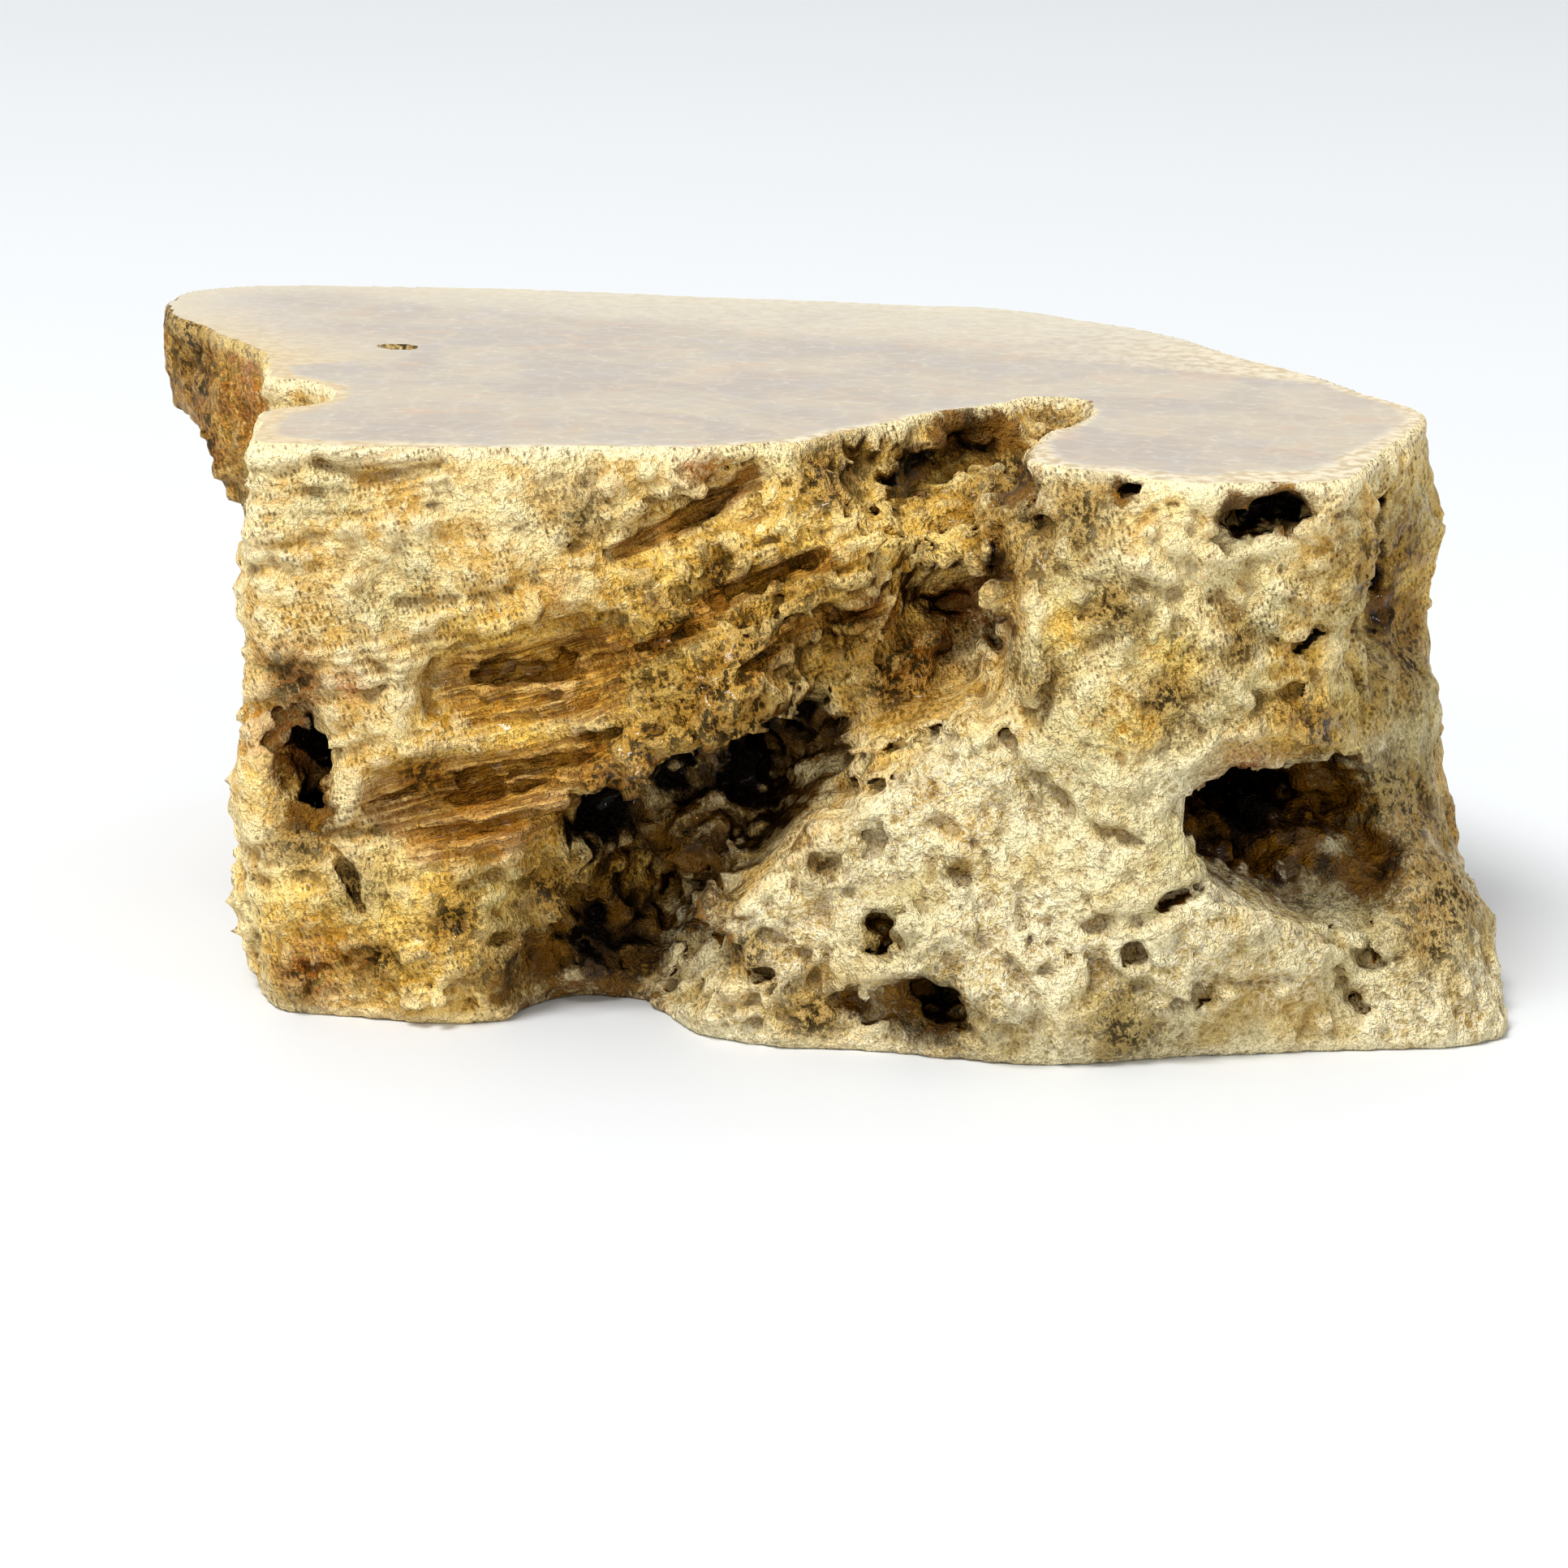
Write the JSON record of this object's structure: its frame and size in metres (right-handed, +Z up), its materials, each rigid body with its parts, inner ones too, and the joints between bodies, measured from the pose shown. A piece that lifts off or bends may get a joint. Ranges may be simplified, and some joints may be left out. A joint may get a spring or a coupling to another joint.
{
  "type": "fossil coral",
  "caption": "Hand-sized block of agatized fossil coral with a polished flat top, a flat sawn base, and a rough weathered rim of growth ledges, vugs and one deep cave.",
  "frame": {"origin": "middle of the flat sawn base, under the middle of the bounding box", "axes": "+X along the block's length, to the right of its front; +Y from the front, where the cave opens, to the back; +Z up, square to the base and the polished top"},
  "size_m": [0.1298, 0.108, 0.052],
  "materials": {
    "agatized_coral": "Silicified coral: a rough, slightly wet rim of cream, tan and ochre with dark pores and brown glassy hollows, and a polished top in soft beige, grey and pink-tan."
  },
  "bodies": {
    "root": {"fossil_coral": "agatized_coral"}
  },
  "joints": []
}
